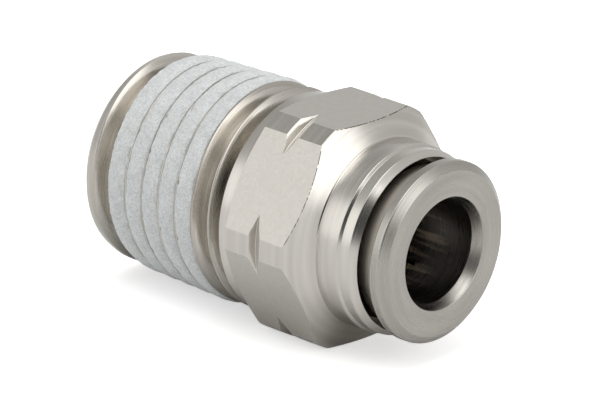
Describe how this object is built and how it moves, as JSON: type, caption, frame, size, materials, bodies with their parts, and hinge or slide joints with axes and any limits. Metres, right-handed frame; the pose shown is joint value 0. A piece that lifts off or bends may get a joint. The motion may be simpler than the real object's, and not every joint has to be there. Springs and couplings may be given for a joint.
{
  "type": "push to connect fitting",
  "caption": "Straight male connector: tapered pipe thread with sealant, hexagon with notched corners, push-in socket with a release button.",
  "frame": {"origin": "on the fitting's axis, at the centre of the body's mouth", "axes": "+X along the axis, out of the tube end; +Z square to the upper flat of the hexagon"},
  "size_m": [0.024, 0.0154, 0.014],
  "materials": {
    "nickel_plated_brass": "satin nickel plating over turned brass",
    "white_sealant": "matt, fine grained coat",
    "plain_brass": "turned",
    "spring_steel": "rolled",
    "white_washer": "matt",
    "black_rubber": "matt"
  },
  "bodies": {
    "fitting": {"body": "nickel_plated_brass", "thread_sealant": "white_sealant", "guide_ring": "plain_brass", "grip_ring": "spring_steel", "grip_seat": "plain_brass", "backup_washer": "white_washer", "tube_seal": "black_rubber"},
    "button": {"release_button": "nickel_plated_brass"}
  },
  "joints": [
    {"name": "button_press", "type": "slide", "parent": "fitting", "child": "button", "axis": [1, 0, 0], "range_m": [-0.001, 0], "stiffness_N_per_m": 4000}
  ]
}
